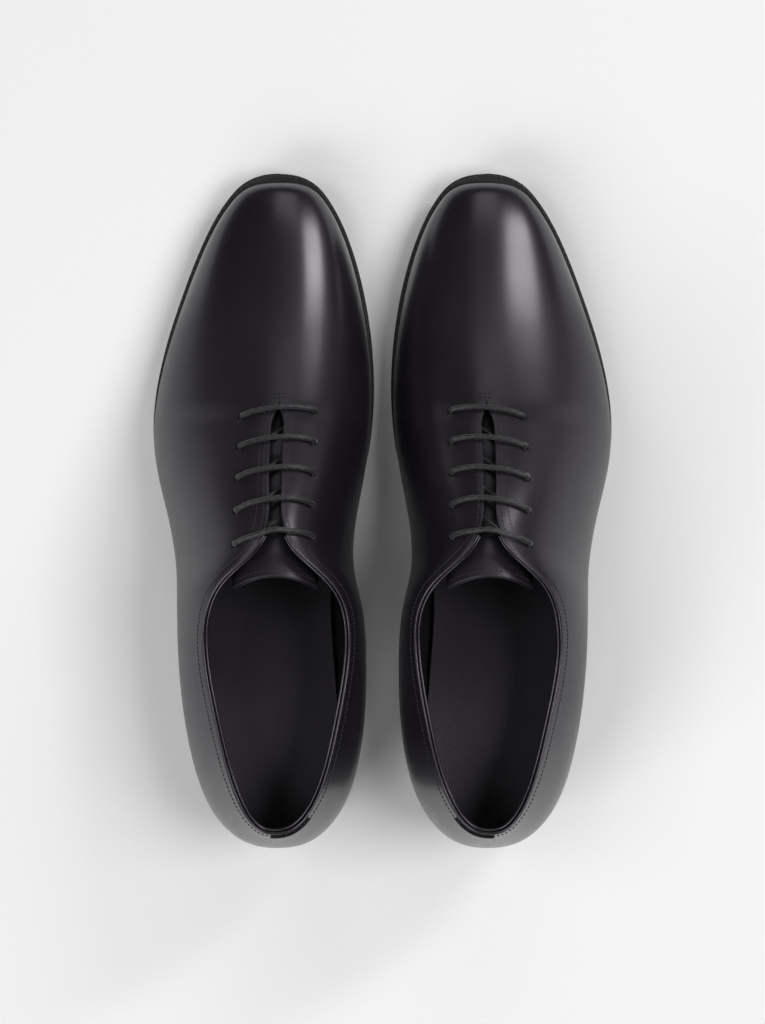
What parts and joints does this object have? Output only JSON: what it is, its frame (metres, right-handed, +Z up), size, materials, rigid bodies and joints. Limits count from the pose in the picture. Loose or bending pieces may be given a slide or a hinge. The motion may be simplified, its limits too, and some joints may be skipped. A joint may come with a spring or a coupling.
{
  "type": "leather oxford shoe pair",
  "caption": "Closed-laced low leather dress shoe in plain wholecut form, with stitched welt, stacked heel, tongue and round lace, shown as a left and right pair.",
  "frame": {"origin": "on the floor, midway between the two shoes and midway along their length", "axes": "+Z up, -Y towards the toes, +X towards the wearer's left; the left shoe stands at +X and the right shoe at -X"},
  "size_m": [0.2094, 0.3031, 0.0997],
  "materials": {
    "upper_calf": "near-black smooth polished calf with a soft wide highlight",
    "bead_calf": "near-black thin calf rolled to a round bead",
    "tongue_calf": "near-black smooth calf, less polished",
    "lining_leather": "black smooth lining leather, satin",
    "sock_leather": "black fine-grained sock leather, matt to satin",
    "sole_leather": "dense bend leather, edge stained black and waxed",
    "welt_leather": "black-stained welt, waxed, stitched on top",
    "stacked_leather": "heel lifts, edge stained black and waxed",
    "insole_leather": "natural vegetable-tanned insole board",
    "stiffener_leather": "natural firm stiffener leather",
    "cork": "granulated cork filler",
    "shank_steel": "plain spring steel",
    "rubber": "matt black rubber top piece",
    "waxed_cotton": "black round waxed cotton lace, fine braid",
    "aglet_film": "black film, satin"
  },
  "bodies": {
    "left_shoe": {"left_heel_top_piece": "rubber", "left_heel_lift_1": "stacked_leather", "left_heel_lift_2": "stacked_leather", "left_heel_lift_3": "stacked_leather", "left_outsole": "sole_leather", "left_welt": "welt_leather", "left_heel_rand": "welt_leather", "left_shank": "shank_steel", "left_cork_filler": "cork", "left_insole": "insole_leather", "left_sock_lining": "sock_leather", "left_heel_counter": "stiffener_leather", "left_toe_puff": "stiffener_leather", "left_facing_stay_outer": "stiffener_leather", "left_facing_stay_inner": "stiffener_leather", "left_lining": "lining_leather", "left_upper": "upper_calf", "left_heel_tab": "upper_calf", "left_topline_bead": "bead_calf", "left_lace": "waxed_cotton", "left_lace_tail_front": "waxed_cotton", "left_lace_tail_rear": "waxed_cotton", "left_aglet_front": "aglet_film", "left_aglet_rear": "aglet_film"},
    "right_shoe": {"right_heel_top_piece": "rubber", "right_heel_lift_1": "stacked_leather", "right_heel_lift_2": "stacked_leather", "right_heel_lift_3": "stacked_leather", "right_outsole": "sole_leather", "right_welt": "welt_leather", "right_heel_rand": "welt_leather", "right_shank": "shank_steel", "right_cork_filler": "cork", "right_insole": "insole_leather", "right_sock_lining": "sock_leather", "right_heel_counter": "stiffener_leather", "right_toe_puff": "stiffener_leather", "right_facing_stay_outer": "stiffener_leather", "right_facing_stay_inner": "stiffener_leather", "right_lining": "lining_leather", "right_upper": "upper_calf", "right_heel_tab": "upper_calf", "right_topline_bead": "bead_calf", "right_lace": "waxed_cotton", "right_lace_tail_front": "waxed_cotton", "right_lace_tail_rear": "waxed_cotton", "right_aglet_front": "aglet_film", "right_aglet_rear": "aglet_film"},
    "left_tongue_flap": {"left_tongue": "tongue_calf", "left_tongue_lining": "lining_leather"},
    "right_tongue_flap": {"right_tongue": "tongue_calf", "right_tongue_lining": "lining_leather"}
  },
  "joints": [
    {"name": "right_shoe_lift", "type": "slide", "parent": "left_shoe", "child": "right_shoe", "axis": [0, 0, 1], "range_m": [0, 0.15]},
    {"name": "left_tongue_flex", "type": "hinge", "parent": "left_shoe", "child": "left_tongue_flap", "pos_m": [0.0467, -0.0541, 0.0528], "axis": [-1, 0, 0], "range_deg": [0, 15], "stiffness_Nm_per_rad": 0.15, "springref_deg": -5.73},
    {"name": "right_tongue_flex", "type": "hinge", "parent": "right_shoe", "child": "right_tongue_flap", "pos_m": [-0.0467, -0.0541, 0.0528], "axis": [-1, 0, 0], "range_deg": [0, 15], "stiffness_Nm_per_rad": 0.15, "springref_deg": -5.73}
  ]
}
